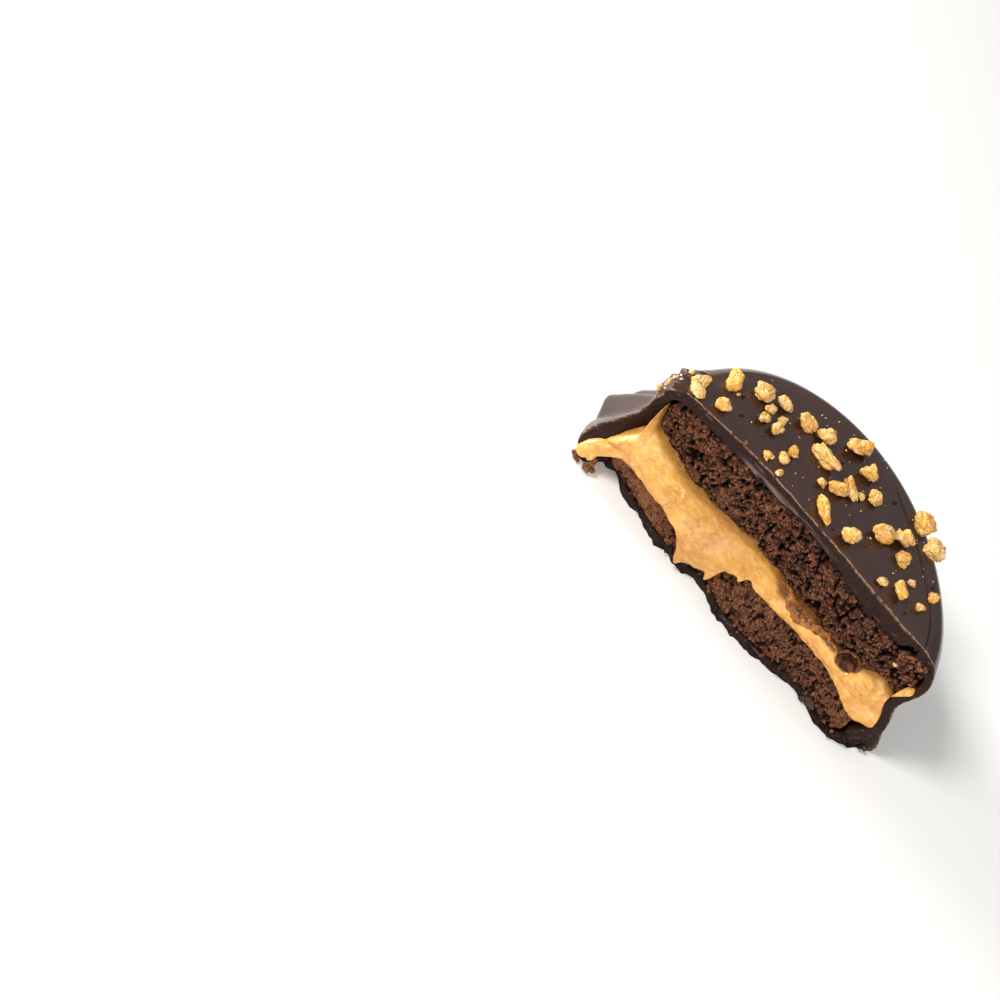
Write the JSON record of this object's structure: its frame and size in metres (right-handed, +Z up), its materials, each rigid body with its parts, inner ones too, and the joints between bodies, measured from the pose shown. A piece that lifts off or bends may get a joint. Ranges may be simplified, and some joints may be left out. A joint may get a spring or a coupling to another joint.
{
  "type": "half peanut alfajor",
  "caption": "Half of a round chocolate-coated sandwich biscuit, lying on its base, its cut showing cocoa biscuits and bulging peanut cream; praline bits on top",
  "frame": {"origin": "on the flat underside, near the foot of the axis that the round biscuit had before it was halved, just behind the cut's edge", "axes": "+Z up from the underside, +X along the cut, and the cut faces -Y"},
  "size_m": [0.0712, 0.0372, 0.0265],
  "materials": {
    "chocolate": "satin dark chocolate, enrobed and set",
    "upper_cocoa_biscuit": "matt broken cocoa crumb",
    "lower_cocoa_biscuit": "matt broken cocoa crumb",
    "peanut_cream": "smooth, softly shining peanut cream"
  },
  "bodies": {
    "root": {"chocolate_coat": "chocolate", "upper_biscuit": "upper_cocoa_biscuit", "lower_biscuit": "lower_cocoa_biscuit", "peanut_filling": "peanut_cream"}
  },
  "joints": []
}
